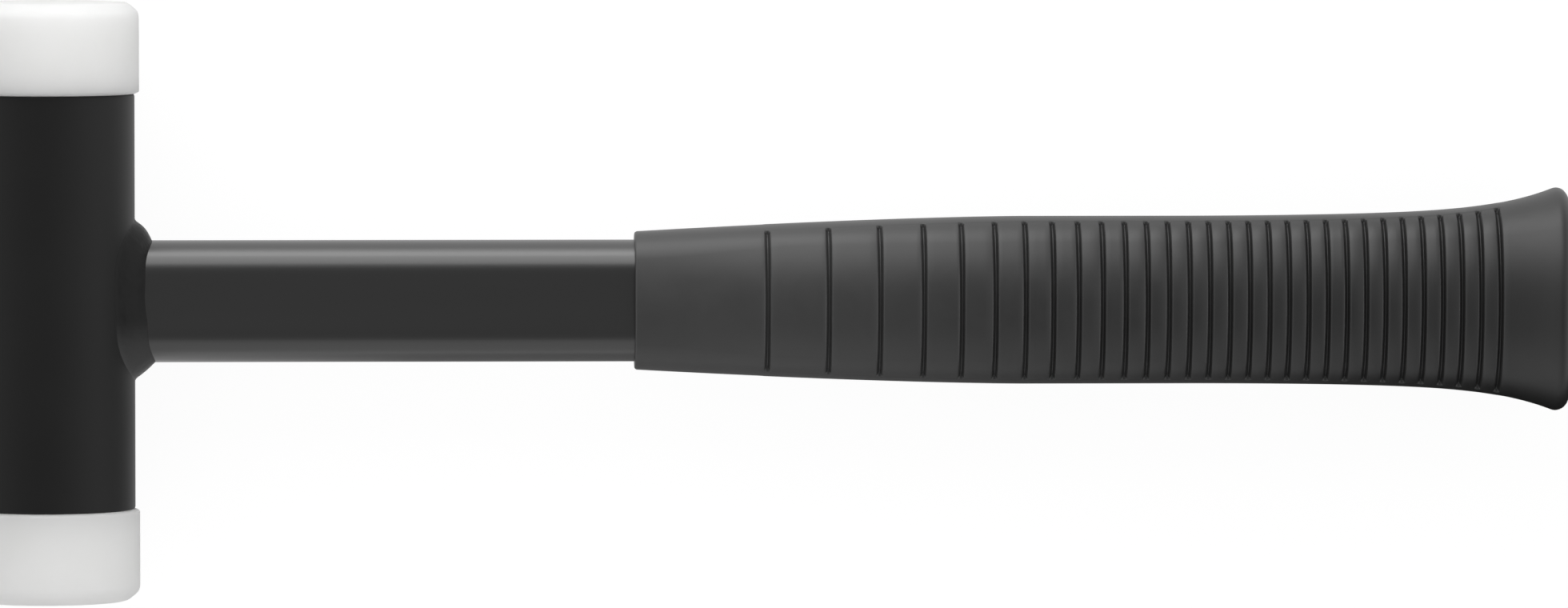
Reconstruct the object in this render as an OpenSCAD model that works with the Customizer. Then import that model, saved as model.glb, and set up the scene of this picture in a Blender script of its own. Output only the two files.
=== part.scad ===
// Dead blow hammer: a shot-filled steel head tube with two push-in nylon faces,
// a flat-oval steel shaft welded to the tube, and a grooved rubber grip.
// It lies on its side: X runs along the shaft from the head to the butt, Y along
// the head, Z up. The origin is under the middle of the hammer. Millimetres.

/* [Head tube] */
// Outside diameter of the head tube
tube_d = 28.5; // [26:0.5:34]
// Length of the head tube
tube_len = 68; // [56:1:90]
// Wall of the head tube round the shot chamber
tube_wall = 2.5; // [2:0.1:3.5]
// Radial step inside each end that a closing disc sits on
seat_step = 0.6; // [0.4:0.1:1]
// Chamfer on the outer edge at each end of the tube
tube_chamfer = 0.5; // [0.2:0.1:1]
// Thickness of the steel disc that closes each end of the chamber
disc_len = 2.5; // [1.5:0.5:4]

/* [Nylon faces] */
// Diameter of a striking face
face_d = 30; // [28:0.5:36]
// Length of a face outside the tube
face_len = 15; // [10:0.5:20]
// Width of the chamfer round the striking edge
face_chamfer = 2; // [1:0.1:3]
// Length of the chamfer along the head
face_chamfer_len = 1.6; // [0.8:0.1:3]
// Chamfer on the edge beside the tube
shoulder_chamfer = 0.7; // [0.3:0.1:1]
// Length of the spigot that pushes into the tube
spigot_len = 8; // [6:0.5:10]
// Number of grip rings round the spigot
spigot_rings = 3; // [1:1:4]
// Depth of the grooves between those rings
spigot_groove = 0.4; // [0.2:0.1:0.8]

/* [Steel shot] */
// Diameter of one ball
ball_d = 4.5; // [3.5:0.1:6]
// Gap between neighbouring balls
ball_gap = 0.08; // [0.05:0.01:0.2]
// Share of the chamber's length that the shot takes up
shot_fill = 0.8; // [0.5:0.05:0.85]

/* [Shaft] */
// Height of the flat-oval shaft, along the head
shaft_h = 20; // [16:0.5:22]
// Thickness of the flat-oval shaft
shaft_t = 11; // [8:0.5:12]
// Wall of the shaft
shaft_wall = 1.5; // [1:0.1:2]
// Leg of the weld between head and shaft
weld_leg = 3; // [2:0.1:3.5]
// How far the weld bulges past a straight fillet
weld_crown = 0.35; // [0:0.05:0.6]
// Length of the plug inside the shaft's far end
plug_len = 12; // [6:1:20]
// Thickness of the plug's flange
plug_flange = 2; // [1:0.5:3]

/* [Rubber grip] */
// Distance from the head's axis to the front of the grip
grip_start = 96; // [80:1:120]
// Length of the grip
grip_len = 153.5; // [140:0.5:180]
// Height of the grip at its front edge
grip_front_h = 22.6; // [22:0.1:26]
// Height of the grip at its belly
grip_belly_h = 27.4; // [26:0.1:32]
// Distance from the grip's front to its belly
grip_swell = 64; // [50:1:80]
// Distance from the grip's front to where it widens again
grip_rear_start = 90; // [80:1:110]
// Height that the gentle widening adds by the butt
grip_rear_h = 3; // [1:0.1:5]
// Height that the flare adds at the butt
grip_flare_h = 8.2; // [4:0.1:10]
// Height of the flat along each side of the grip
grip_flat_h = 9; // [5:0.5:10]
// Radius round the butt
butt_r = 1.9; // [1:0.1:3]
// Rubber left behind the shaft's plug
butt_wall = 11.5; // [6:0.5:20]

/* [Grip grooves] */
// Most grooves on each side
groove_count = 30; // [10:1:40]
// Least plain length between the last groove and the butt
groove_end = 9; // [6:0.5:14]
// Distance from the grip's front to the first groove
groove_first = 22.1; // [15:0.1:24]
// Distance between the first two grooves
groove_pitch_front = 9.83; // [6:0.01:10]
// Distance that the spacing settles to
groove_pitch_rear = 3.15; // [2.4:0.05:3.2]
// Ratio by which the extra spacing shrinks from groove to groove
groove_decay = 0.77; // [0.6:0.01:0.8]
// Width of a groove
groove_w = 1; // [0.5:0.1:1.2]
// Depth of a groove
groove_depth = 0.7; // [0.4:0.1:1]
// Width of the plain land along the grip's top and bottom edge
land_w = 7; // [4:0.5:9]

/* [Clearances] */
// Radial clearance of a face's spigot in the tube
spigot_gap = 0.05; // [0.02:0.01:0.1]
// Radial clearance of a pressed or glued piece
press_gap = 0.03; // [0.02:0.01:0.05]
// End clearance behind a spigot
end_gap = 0.2; // [0.1:0.05:0.5]
// Least clearance between the shot and the chamber
shot_gap = 0.3; // [0.3:0.05:0.6]

/* [Hidden] */
$fn = 96;

// Head
tube_r = tube_d / 2;
face_r = face_d / 2;
chamber_r = tube_r - tube_wall;
seat_r = chamber_r + seat_step;
seat_depth = spigot_len + end_gap + disc_len;
chamber_len = tube_len - 2 * seat_depth;
spigot_r = seat_r - spigot_gap;
spigot_pitch = spigot_len / (2 * spigot_rings + 1);

// Shot, in layers of rings from the chamber's wall inwards
ball_r = ball_d / 2;
ball_pitch = ball_d + ball_gap;
shot_ring_r = chamber_r - shot_gap - ball_r;
shot_layers = floor(chamber_len * shot_fill / ball_pitch);
layer_turn = 30;

// Shaft: half height of its flat sides, and radius of its round edges
shaft_flat = (shaft_h - shaft_t) / 2;
shaft_r = shaft_t / 2;
shaft_end = grip_start + grip_len - butt_wall - plug_flange;
weld_steps = 12;
weld_facets = 4;
// Height of the weld's square edge, and how deep the bead starts inside what it joins
weld_edge = 0.15;
weld_root = 1;

// Grip: half height of its flat sides, and the arc round its butt
grip_flat = grip_flat_h / 2;
grip_end = grip_start + grip_len;
belly_ease = 1.5;
rear_ease = 2;
flare_ease = 6.8;
flare_steps = 6;
butt_steps = 6;
// The arc round the butt starts where it meets the flare at the flare's own slope
butt_x = grip_len - butt_r;
butt_lean = atan((grip_half(butt_x) - grip_half(butt_x - butt_r)) / butt_r);
butt_start = butt_x - butt_r * sin(butt_lean);
butt_centre = grip_half(butt_start) - butt_r * cos(butt_lean);
// Places of the grooves from the grip's front
groove_xs = [
  for (i = [0:groove_count - 1])
    if (groove_x(i) < grip_len - groove_end) groove_x(i)
];
// A length past any cut, so that no two faces coincide
over = 1;

// Place of the head's axis: the hammer lies on z = 0 with its middle over the origin
widest_r = max(face_r, tube_r);
axis_z = max(widest_r, butt_centre + butt_r - grip_flat);
head_x = (widest_r - grip_end) / 2;

// Distance of groove i from the grip's front: the spacing decays to the rear pitch
function groove_x(i) =
  groove_first + i * groove_pitch_rear
  + (groove_pitch_front - groove_pitch_rear) * (1 - pow(groove_decay, i)) / (1 - groove_decay);

// Half height of the grip at x from its front: a swell to the belly, then a gentle
// widening and a steep flare
function grip_half(x) =
  let (
    swell = 1 - pow(1 - min(1, x / grip_swell), belly_ease),
    rear = max(0, x - grip_rear_start) / (grip_len - grip_rear_start)
  )
  (
    grip_front_h + (grip_belly_h - grip_front_h) * swell
    + grip_rear_h * pow(rear, rear_ease) + grip_flare_h * pow(rear, flare_ease)
  ) / 2;

module place() {
  translate([head_x, 0, axis_z]) children();
}

// Turns a shape made along Z so that it lies along the head
module along_head() {
  rotate([-90, 0, 0]) children();
}

module tube_solid() {
  along_head() cylinder(r = tube_r, h = tube_len, center = true);
}

// Flat-oval bar along X, with round edges above and below
module flat_oval_bar(x0, x1, flat, r) {
  translate([x0, -flat, -r]) cube([x1 - x0, 2 * flat, 2 * r]);
  for (side = [-1, 1])
    translate([x0, side * flat, 0]) rotate([0, 90, 0]) cylinder(r = r, h = x1 - x0);
}

module head_tube() {
  half = tube_len / 2;
  step = half - seat_depth;
  c = tube_chamfer;
  color("#242424") place() along_head() rotate_extrude()
    polygon([
      [chamber_r, -step], [seat_r, -step], [seat_r, -half], [tube_r - c, -half],
      [tube_r, c - half], [tube_r, half - c], [tube_r - c, half], [seat_r, half],
      [seat_r, step], [chamber_r, step]
    ]);
}

// Steel disc on the step inside one end of the tube; side is 1 at +Y, -1 at -Y
module chamber_disc(side) {
  color("#b4b6b8") place() rotate([-90 * side, 0, 0])
    translate([0, 0, chamber_len / 2]) cylinder(r = seat_r - press_gap, h = disc_len);
}

// Nylon face with a ringed spigot; side is 1 at +Y, -1 at -Y
module striking_face(side) {
  seat = tube_len / 2;
  tip = seat - spigot_len;
  top = seat + face_len;
  rings = [
    for (i = [0:spigot_rings - 1], corner = [0:3])
      [
        spigot_r - (corner == 0 || corner == 3 ? 0 : spigot_groove),
        tip + spigot_pitch * (2 * i + (corner < 2 ? 1 : 2))
      ]
  ];
  color("#eeeeea") place() rotate([-90 * side, 0, 0]) rotate_extrude()
    polygon(concat(
      [[0, tip], [spigot_r - spigot_groove, tip], [spigot_r, tip + spigot_groove]],
      rings,
      [
        [spigot_r, seat], [face_r - shoulder_chamfer, seat], [face_r, seat + shoulder_chamfer],
        [face_r, top - face_chamfer_len], [face_r - face_chamfer, top], [0, top]
      ]
    ));
}

// Balls in a ring of radius r: as many as fit, or one where two don't
function ring_count(r) = r < ball_pitch / 2 ? 1 : floor(180 / asin(ball_pitch / (2 * r)));

// One layer of balls, in rings from the chamber's wall inwards
module shot_layer() {
  for (r = [shot_ring_r:-ball_pitch:0], i = [0:ring_count(r) - 1])
    rotate([0, 0, 360 * i / ring_count(r)]) translate([r, 0, 0]) sphere(r = ball_r);
}

// The loose shot, gathered into one charge in the middle of the chamber
module steel_shot() {
  color("#9a9da0") place() along_head()
    for (layer = [0:shot_layers - 1])
      translate([0, 0, ball_pitch * (layer - (shot_layers - 1) / 2)])
        rotate([0, 0, layer_turn * layer]) shot_layer();
}

module handle_shaft() {
  color("#2b2b2b") place() difference() {
    flat_oval_bar(0, shaft_end, shaft_flat, shaft_r);
    flat_oval_bar(-over, shaft_end + over, shaft_flat, shaft_r - shaft_wall);
    tube_solid();
  }
}

// A station on the weld is [side, angle] round the shaft's oval outline
function weld_stations() = [
  for (side = [1, -1], i = [0:weld_steps]) [side, 180 * i / weld_steps - 90 * side]
];

// Height of the head tube's surface over the head's axis at depth z
function saddle_x(z) = sqrt(tube_r * tube_r - z * z);

// Point of the bead at height x over the head's axis and offset out from the shaft's surface
function weld_point(station, out, x) = [
  x,
  station[0] * shaft_flat + (shaft_r + out) * cos(station[1]),
  (shaft_r + out) * sin(station[1])
];

// Cross-section of the bead at one station, from its root round to the shaft
function weld_section(station) =
  let (
    toe = saddle_x((shaft_r + weld_leg) * sin(station[1])),
    root = saddle_x(shaft_r * sin(station[1]))
  )
  concat(
    [
      weld_point(station, -weld_root, root - weld_root),
      weld_point(station, weld_leg, toe - weld_root)
    ],
    [
      for (k = [0:weld_facets])
        let (
          t = k / weld_facets,
          crown = weld_crown * sin(180 * t)
        )
        weld_point(
          station,
          weld_leg + (weld_edge - weld_leg) * t + crown,
          toe + weld_edge + (root + weld_leg - toe - weld_edge) * t + crown
        )
    ],
    [weld_point(station, -weld_root, root + weld_leg)]
  );

module weld_ring() {
  sections = [for (s = weld_stations()) weld_section(s)];
  n = len(sections);
  m = len(sections[0]);
  polyhedron(
    points = [for (s = sections, p = s) p],
    faces = [
      for (i = [0:n - 1], j = [0:m - 1], half = [0, 1])
        let (
          a = i * m + j,
          b = i * m + (j + 1) % m,
          c = ((i + 1) % n) * m + (j + 1) % m,
          d = ((i + 1) % n) * m + j
        )
        half == 0 ? [a, b, c] : [a, c, d]
    ]
  );
}

module weld_bead() {
  color("#262626") place() difference() {
    weld_ring();
    tube_solid();
    flat_oval_bar(0, shaft_end, shaft_flat, shaft_r);
  }
}

// Plug in the shaft's open end, so that the tube's edge can't cut into the butt
module shaft_plug() {
  color("#3a3a3a") place() {
    flat_oval_bar(shaft_end - plug_len, shaft_end, shaft_flat, shaft_r - shaft_wall - press_gap);
    flat_oval_bar(shaft_end, shaft_end + plug_flange, shaft_flat, shaft_r);
  }
}

// Outline of the grip from front to butt, as [distance from the front, half height]
function grip_outline() =
  let (last = groove_xs[len(groove_xs) - 1])
  concat(
    [[0, grip_half(0)]],
    [for (x = groove_xs) [x, grip_half(x)]],
    [
      for (i = [1:flare_steps - 1])
        let (x = last + (butt_start - last) * i / flare_steps)
        [x, grip_half(x)]
    ],
    [
      for (i = [0:butt_steps])
        let (angle = (90 + butt_lean) * i / butt_steps - butt_lean)
        [butt_x + butt_r * sin(angle), butt_centre + butt_r * cos(angle)]
    ]
  );

// Flat-oval solid along X, whose half height follows an outline and whose sides stay flat
module flat_oval_sweep(outline, flat) {
  half = [for (p = outline) [p[1] - flat, p[0]]];
  first = half[0][1];
  last = half[len(half) - 1][1];
  for (turn = [0, 180])
    rotate([turn, 0, 0]) translate([0, flat, 0]) rotate([0, 90, 0])
      rotate_extrude(angle = 180) polygon(concat([[0, first]], half, [[0, last]]));
  rotate([90, 0, 0]) linear_extrude(2 * flat, center = true)
    polygon(concat(
      [for (p = half) [p[1], p[0]]],
      [for (i = [len(half) - 1:-1:0]) [half[i][1], -half[i][0]]]
    ));
}

// One groove across both sides of the grip, ending at the lands along its narrow edges
module grip_groove(x) {
  reach = 4 * grip_half(x);
  floor_r = grip_half(x) - grip_flat - groove_depth;
  difference() {
    translate([x, 0, 0]) cube([groove_w, reach, reach], center = true);
    translate([x, 0, 0]) cube([2 * groove_w, reach + over, land_w], center = true);
    flat_oval_bar(x - groove_w, x + groove_w, grip_flat, floor_r);
  }
}

module grip_sleeve() {
  color("#3d3d3d") place() difference() {
    translate([grip_start, 0, 0]) flat_oval_sweep(grip_outline(), grip_flat);
    translate([grip_start, 0, 0]) for (x = groove_xs) grip_groove(x);
    flat_oval_bar(
      grip_start - over, shaft_end + plug_flange, shaft_flat, shaft_r + press_gap
    );
  }
}

head_tube();
chamber_disc(1);  // front_disc
chamber_disc(-1);  // rear_disc
striking_face(1);  // front_face
striking_face(-1);  // rear_face
steel_shot();
handle_shaft();
weld_bead();
shaft_plug();
grip_sleeve();
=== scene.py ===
"""Looks of a dead blow hammer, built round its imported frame.

The hammer lies on its side: X runs along the shaft from the head to the butt, Y along the head and
Z up, in metres. Each new piece is a surface worked out in place with numpy, so its object sits at
the origin.
"""

import logging
import math
from dataclasses import dataclass
from enum import Enum
from typing import Any

import bpy
import numpy as np
from mathutils import Matrix, Vector
from numpy.typing import NDArray


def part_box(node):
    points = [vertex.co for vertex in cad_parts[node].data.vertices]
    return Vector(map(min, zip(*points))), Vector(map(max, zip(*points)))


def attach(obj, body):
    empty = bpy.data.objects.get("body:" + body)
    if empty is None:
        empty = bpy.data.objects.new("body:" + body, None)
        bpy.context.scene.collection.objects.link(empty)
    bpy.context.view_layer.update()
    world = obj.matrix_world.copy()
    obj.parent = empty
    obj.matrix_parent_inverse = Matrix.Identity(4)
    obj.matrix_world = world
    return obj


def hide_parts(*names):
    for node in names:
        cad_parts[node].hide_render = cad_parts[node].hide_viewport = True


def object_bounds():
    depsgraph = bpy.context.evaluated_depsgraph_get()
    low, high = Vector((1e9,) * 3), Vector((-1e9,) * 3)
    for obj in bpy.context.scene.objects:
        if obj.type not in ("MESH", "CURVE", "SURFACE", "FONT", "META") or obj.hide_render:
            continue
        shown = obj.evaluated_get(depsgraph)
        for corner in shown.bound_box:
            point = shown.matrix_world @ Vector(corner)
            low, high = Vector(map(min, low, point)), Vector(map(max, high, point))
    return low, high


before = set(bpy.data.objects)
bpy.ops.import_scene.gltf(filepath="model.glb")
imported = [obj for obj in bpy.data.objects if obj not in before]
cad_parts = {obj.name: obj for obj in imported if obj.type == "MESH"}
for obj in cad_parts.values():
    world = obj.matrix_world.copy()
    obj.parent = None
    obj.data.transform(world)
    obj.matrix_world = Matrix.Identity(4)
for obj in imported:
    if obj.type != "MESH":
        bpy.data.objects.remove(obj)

CAD_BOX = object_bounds()
HAMMER_BODY = "hammer"
MM = 0.001
SAME_POINT = 1e-9  # distance below which two points are one
WAVE_RADIANS = 20  # that Blender's wave pattern turns in one unit

Array = NDArray[np.float64]
Material = bpy.types.Material
Piece = bpy.types.Object
Socket = bpy.types.NodeSocket
Tree = bpy.types.NodeTree
log = logging.getLogger("hammer")


class HeadEnd(Enum):
    """One end of the head, and the way that it points along Y."""

    FRONT = 1
    REAR = -1

    def named(self, piece: str) -> str:
        """Gives the name of this end's own node or body, such as front_face."""
        return f"{self.name.lower()}_{piece}"


class Slot(Enum):
    """The record's material slots, by name."""

    HEAD = "head_enamel"
    SHAFT = "shaft_enamel"
    NYLON = "nylon"
    GRIP = "grip_rubber"
    DISC = "disc_steel"


class Marks(Enum):
    """Where a lathe leaves its marks, and Blender's wave pattern for them."""

    ENDS = "RINGS"
    SIDES = "BANDS"


def ease(low: float, high: float, values: Array) -> Array:
    """Rises smoothly from 0 at low to 1 at high: 3t^2 - 2t^3.

    Args:
        low: Value where the rise starts.
        high: Value where it ends.
        values: Values to ease.

    Returns:
        An array of the same shape, from 0 to 1.
    """
    t = np.clip((values - low) / (high - low), 0.0, 1.0)
    return t * t * (3.0 - 2.0 * t)


def soften(corners: Array, reach: Array, steps: int = 7) -> Array:
    """Rounds the corners of an outline.

    Corner C gives way to the curve (1-t)^2 A + 2t(1-t) C + t^2 B, where A and B lie at the corner's
    reach from C along its two edges. A corner with no reach stays sharp.

    Args:
        corners: Corner points, one per row; the outline closes from the last to the first.
        reach: How far along its edges each corner's curve starts.
        steps: Points on each curve.

    Returns:
        The rounded outline, with no point twice in a row.
    """
    before = np.roll(corners, 1, axis=0) - corners
    after = np.roll(corners, -1, axis=0) - corners
    start = corners + before / np.linalg.norm(before, axis=1, keepdims=True) * reach[:, None]
    end = corners + after / np.linalg.norm(after, axis=1, keepdims=True) * reach[:, None]
    t = np.linspace(0.0, 1.0, steps)[None, :, None]
    a, b, c = start[:, None], end[:, None], corners[:, None]
    curves = (1 - t) ** 2 * a + 2 * t * (1 - t) * c + t**2 * b
    points = curves.reshape(-1, corners.shape[1])
    moved = np.linalg.norm(np.diff(points, axis=0), axis=1) > SAME_POINT
    return points[np.concatenate([[True], moved])]


def fill_in(outline: Array, spacing: float) -> Array:
    """Adds even points along the straight runs of an outline, so that its shading stays flat there.

    Args:
        outline: Points, one per row.
        spacing: Longest step between neighbours.

    Returns:
        The same outline with the added points.
    """
    runs = np.diff(outline, axis=0)
    counts = np.maximum(1, np.ceil(np.linalg.norm(runs, axis=1) / spacing)).astype(int)
    run = np.repeat(np.arange(len(counts)), counts)
    step = np.arange(counts.sum()) - np.repeat(np.cumsum(counts) - counts, counts)
    points = outline[run] + runs[run] * (step / counts[run])[:, None]
    return np.vstack([points, outline[-1:]])


def lathe(profile: Array, axis: Vector, columns: int = 192) -> Array:
    """Carries a profile round the head's axis: x = r sin(t), y = height, z = r cos(t).

    Args:
        profile: Points of radius and height along the axis.
        axis: Middle of the head.
        columns: Steps round the axis.

    Returns:
        A grid of points: profile by step by coordinate.
    """
    t = np.linspace(0.0, 2 * np.pi, columns, endpoint=False)[None, :]
    r, height = profile[:, :1], profile[:, 1:]
    x, y, z = axis.x + r * np.sin(t), axis.y + height + 0 * t, axis.z + r * np.cos(t)
    return np.stack([x, y, z], axis=-1)


def oval_stations(around: int, straight: int) -> tuple[Array, Array]:
    """Places stations round a flat oval: y = flat * shift + r cos(angle), z = r sin(angle).

    Args:
        around: Steps on each round edge.
        straight: Steps on each flat side.

    Returns:
        The stations' shift, from -1 to 1, and their angle.
    """
    edge = np.linspace(-np.pi / 2, np.pi / 2, around, endpoint=False)
    side = np.linspace(1.0, -1.0, straight, endpoint=False)
    top = np.full(straight, np.pi / 2)
    shift = np.concatenate([np.ones(around), side, -np.ones(around), -side])
    angle = np.concatenate([edge, top, edge + np.pi, top + np.pi])
    return shift, angle


def wrap_faces(rows: int, columns: int, ring: bool = False) -> NDArray[np.int64]:
    """Lists the faces of a grid of points that goes round in its columns.

    Args:
        rows: Rows of points.
        columns: Points in a row.
        ring: Whether the last row joins the first.

    Returns:
        The numbers of each face's four corners.
    """
    row = np.arange(rows if ring else rows - 1)[:, None] * columns
    above = (row + columns) % (rows * columns)
    column = np.arange(columns)
    beside = (column + 1) % columns
    corners = [row + column, row + beside, above + beside, above + column]
    return np.stack(corners, axis=-1).reshape(-1, 4)


def add_mesh(name: str, points: Array, faces: list[list[int]]) -> Piece:
    """Makes an object and links it to the scene.

    Args:
        name: The object's and its mesh's name.
        points: Its points, one per row.
        faces: The numbers of each face's corners.

    Returns:
        The object.
    """
    mesh = bpy.data.meshes.new(name)
    mesh.from_pydata(points.tolist(), [], faces)
    piece = bpy.data.objects.new(name, mesh)
    bpy.context.scene.collection.objects.link(piece)
    return piece


def surface(name: str, grid: Array, ring: bool = False) -> Piece:
    """Makes a closed, smooth object from a grid of points that goes round in its columns.

    Args:
        name: The object's name.
        grid: Points: row by column by coordinate.
        ring: Whether the last row joins the first; otherwise a pole closes each end.

    Returns:
        The object, with its faces pointing outwards.
    """
    rows, columns = grid.shape[:2]
    points, quads = grid.reshape(-1, 3), wrap_faces(rows, columns, ring)
    caps = np.empty((0, 3), dtype=int)
    if not ring:
        column, last = np.arange(columns), (rows - 1) * columns
        beside, pole = (column + 1) % columns, column * 0 + len(points)
        low = np.stack([pole, beside, column], axis=-1)
        high = np.stack([pole + 1, last + column, last + beside], axis=-1)
        caps = np.concatenate([low, high])
        points = np.vstack([points, grid[0].mean(axis=0), grid[-1].mean(axis=0)])
    triangles = np.concatenate([quads[:, [0, 1, 2]], quads[:, [0, 2, 3]], caps])
    a, b, c = np.moveaxis((points - points.mean(axis=0))[triangles], 1, 0)
    if np.einsum("ij,ij->", a, np.cross(b, c)) < 0:
        quads, caps = quads[:, ::-1], caps[:, ::-1]
    piece = add_mesh(name, points, quads.tolist() + caps.tolist())
    piece.data.shade_smooth()
    return piece


def settle(piece: Piece, finish: Material, body: str, node: str) -> None:
    """Dresses a new piece and ties it to the frame.

    Args:
        piece: The new piece.
        finish: Its material.
        body: CAD body that it rides on.
        node: CAD node that it stands for.
    """
    piece.data.materials.append(finish)
    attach(piece, body)
    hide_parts(node)
    log.info("%s: %d faces, for %s on %s", piece.name, len(piece.data.polygons), node, body)


def dress_node(node: str, finish: Material) -> None:
    """Gives a carried-over CAD node its material.

    Args:
        node: The node's name.
        finish: Its material.
    """
    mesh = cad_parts[node].data
    mesh.materials.clear()
    mesh.materials.append(finish)
    log.info("%s: CAD node, dressed in %s", node, finish.name)


def linear(colour: str) -> tuple[float, float, float, float]:
    """Turns an sRGB hex colour into linear red, green, blue and alpha, by the sRGB curve."""
    channels = np.array([int(colour[i : i + 2], 16) for i in (1, 3, 5)]) / 255
    values = np.where(channels <= 0.04045, channels / 12.92, ((channels + 0.055) / 1.055) ** 2.4)
    return (*values.tolist(), 1.0)


def add_node(
    tree: Tree, kind: str, inputs: dict[Any, Any], out: str | int = 0, **settings: Any
) -> Socket | None:
    """Adds a node with its settings, and fills its sockets.

    Args:
        tree: Node tree that gets the node.
        kind: Blender's name of the node's kind, without the ShaderNode that it starts with.
        inputs: Value or output socket for each input, by its name or number.
        out: Name or number of the output that is wanted.
        **settings: The node's own properties.

    Returns:
        That output, or None from a node without outputs.
    """
    node = tree.nodes.new(f"ShaderNode{kind}")
    for name, value in settings.items():
        setattr(node, name, value)
    for key, value in inputs.items():
        if isinstance(value, Socket):
            tree.links.new(value, node.inputs[key])
        else:
            node.inputs[key].default_value = value
    return node.outputs[out] if len(node.outputs) else None


def new_material(name: str) -> tuple[Material, Tree, Socket]:
    """Starts an empty material.

    Args:
        name: The material's name.

    Returns:
        The material, its empty node tree and its Object coordinates.
    """
    material = bpy.data.materials.new(name)
    material.use_nodes = True
    tree = material.node_tree
    tree.nodes.clear()
    return material, tree, add_node(tree, "TexCoord", {}, out="Object")


def per_metre(size_mm: float) -> float:
    """Gives the scale of a noise pattern whose grains are this many millimetres wide."""
    return 1.0 / (size_mm * MM)


def ramp(tree: Tree, place: Socket, axis: str, low: float, high: float) -> Socket:
    """Makes a value that rises smoothly from 0 at one place along an axis to 1 at another.

    Args:
        tree: Node tree that gets the nodes.
        place: Coordinates that they read.
        axis: X, Y or Z.
        low: Place of the 0, on either side of high.
        high: Place of the 1.

    Returns:
        The value.
    """
    way = add_node(tree, "SeparateXYZ", {"Vector": place}, out=axis)
    ends = {"Value": way, "From Min": low, "From Max": high}
    return add_node(tree, "MapRange", ends, interpolation_type="SMOOTHSTEP")


def lathe_marks(
    tree: Tree, place: Socket, axis: Vector, where: Marks,
    pitch_mm: float, wobble: float, detail: float = 1.0,
) -> Socket:
    """Makes the marks that a lathe leaves round the head's axis.

    Args:
        tree: Node tree that gets the nodes.
        place: Coordinates that they read.
        axis: Middle of the head.
        where: Rings on the ends, or bands along the sides.
        pitch_mm: Millimetres from mark to mark.
        wobble: How much the marks waver.
        detail: How finely they waver.

    Returns:
        The pattern.
    """
    centred = add_node(tree, "Mapping", {"Vector": place, "Location": tuple(-axis)})
    scale = 2 * math.pi / (WAVE_RADIANS * pitch_mm * MM)
    pattern = {"Vector": centred, "Scale": scale, "Distortion": wobble, "Detail": detail}
    way = {"wave_type": where.value, "rings_direction": "Y", "bands_direction": "Y"}
    return add_node(tree, "TexWave", pattern, out="Fac", **way)


@dataclass(frozen=True)
class Finish:
    """A material whose colour and gloss follow patterns, under a skin that patterns raise."""

    name: str
    dark: str
    light: str
    roughness: float
    specular: float = 0.5
    ior: float = 1.5
    metallic: float = 0.0
    gloss_spread: float = 0.08

    def coat(
        self, tree: Tree, layers: list[tuple[Socket, str]], dull: Socket,
        relief: list[tuple[Socket, float]], **more: Any,
    ) -> None:
        """Ends the material with its colour, its gloss, its relief and its shader.

        Args:
            tree: The material's node tree.
            layers: Patterns that lay other colours on the dark one, and those colours.
            dull: Pattern that goes from the least roughness to the most.
            relief: Patterns that raise the skin, and their heights in millimetres.
            **more: The shader's other inputs, with _ for each space.
        """
        tint: Any = linear(self.dark)
        for pattern, colour in layers:
            colours = {0: pattern, 6: tint, 7: linear(colour)}
            tint = add_node(tree, "Mix", colours, out=2, data_type="RGBA")
        low, high = self.roughness - self.gloss_spread, self.roughness + self.gloss_spread
        skin = {
            "Base Color": tint,
            "Roughness": add_node(tree, "MapRange", {"Value": dull, "To Min": low, "To Max": high}),
            "Metallic": self.metallic,
            "IOR": self.ior,
            "Specular IOR Level": self.specular,
        }
        raised: dict[str, Any] = {}
        for pattern, height_mm in relief:
            bump = {"Height": pattern, "Distance": height_mm * MM, **raised}
            raised = {"Normal": add_node(tree, "Bump", bump)}
        skin |= raised | {name.replace("_", " "): value for name, value in more.items()}
        add_node(tree, "OutputMaterial", {"Surface": add_node(tree, "BsdfPrincipled", skin)})


@dataclass(frozen=True)
class Enamel(Finish):
    """Black enamel, sprayed on steel and baked: a satin skin with a faint orange peel, cloudy gloss
    and soft, wide reflections. A drawn_out below 1 stretches its pattern along the shaft. Painted
    light lightens it from one place along Y to another, on the side that the fill lamp lights."""

    gloss_spread: float = 0.04
    peel_mm: float = 0.9
    peel_depth_mm: float = 0.004
    cloud_mm: float = 14.0
    drawn_out: float = 1.0
    painted_light: str = ""
    painted_light_from: float = 0.0
    painted_light_to: float = 0.0

    def make(self) -> Material:
        """Builds the enamel: peel as bump, and clouds in colour and gloss.

        Returns:
            The material.
        """
        material, tree, place = new_material(self.name)
        drawn = add_node(tree, "Mapping", {"Vector": place, "Scale": (self.drawn_out, 1.0, 1.0)})
        peel, clouds = (
            add_node(tree, "TexNoise", {"Vector": drawn, "Scale": per_metre(size), "Detail": fine})
            for size, fine in ((self.peel_mm, 2.0), (self.cloud_mm, 3.0))
        )
        layers = [(clouds, self.light)]
        # Painted light: the colour lightens along Y towards the side that the fill lamp lights.
        if self.painted_light:
            layers.append((ramp(tree, place, "Y", self.painted_light_from, self.painted_light_to), self.painted_light))
        self.coat(tree, layers, clouds, [(peel, self.peel_depth_mm)])
        return material


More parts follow.
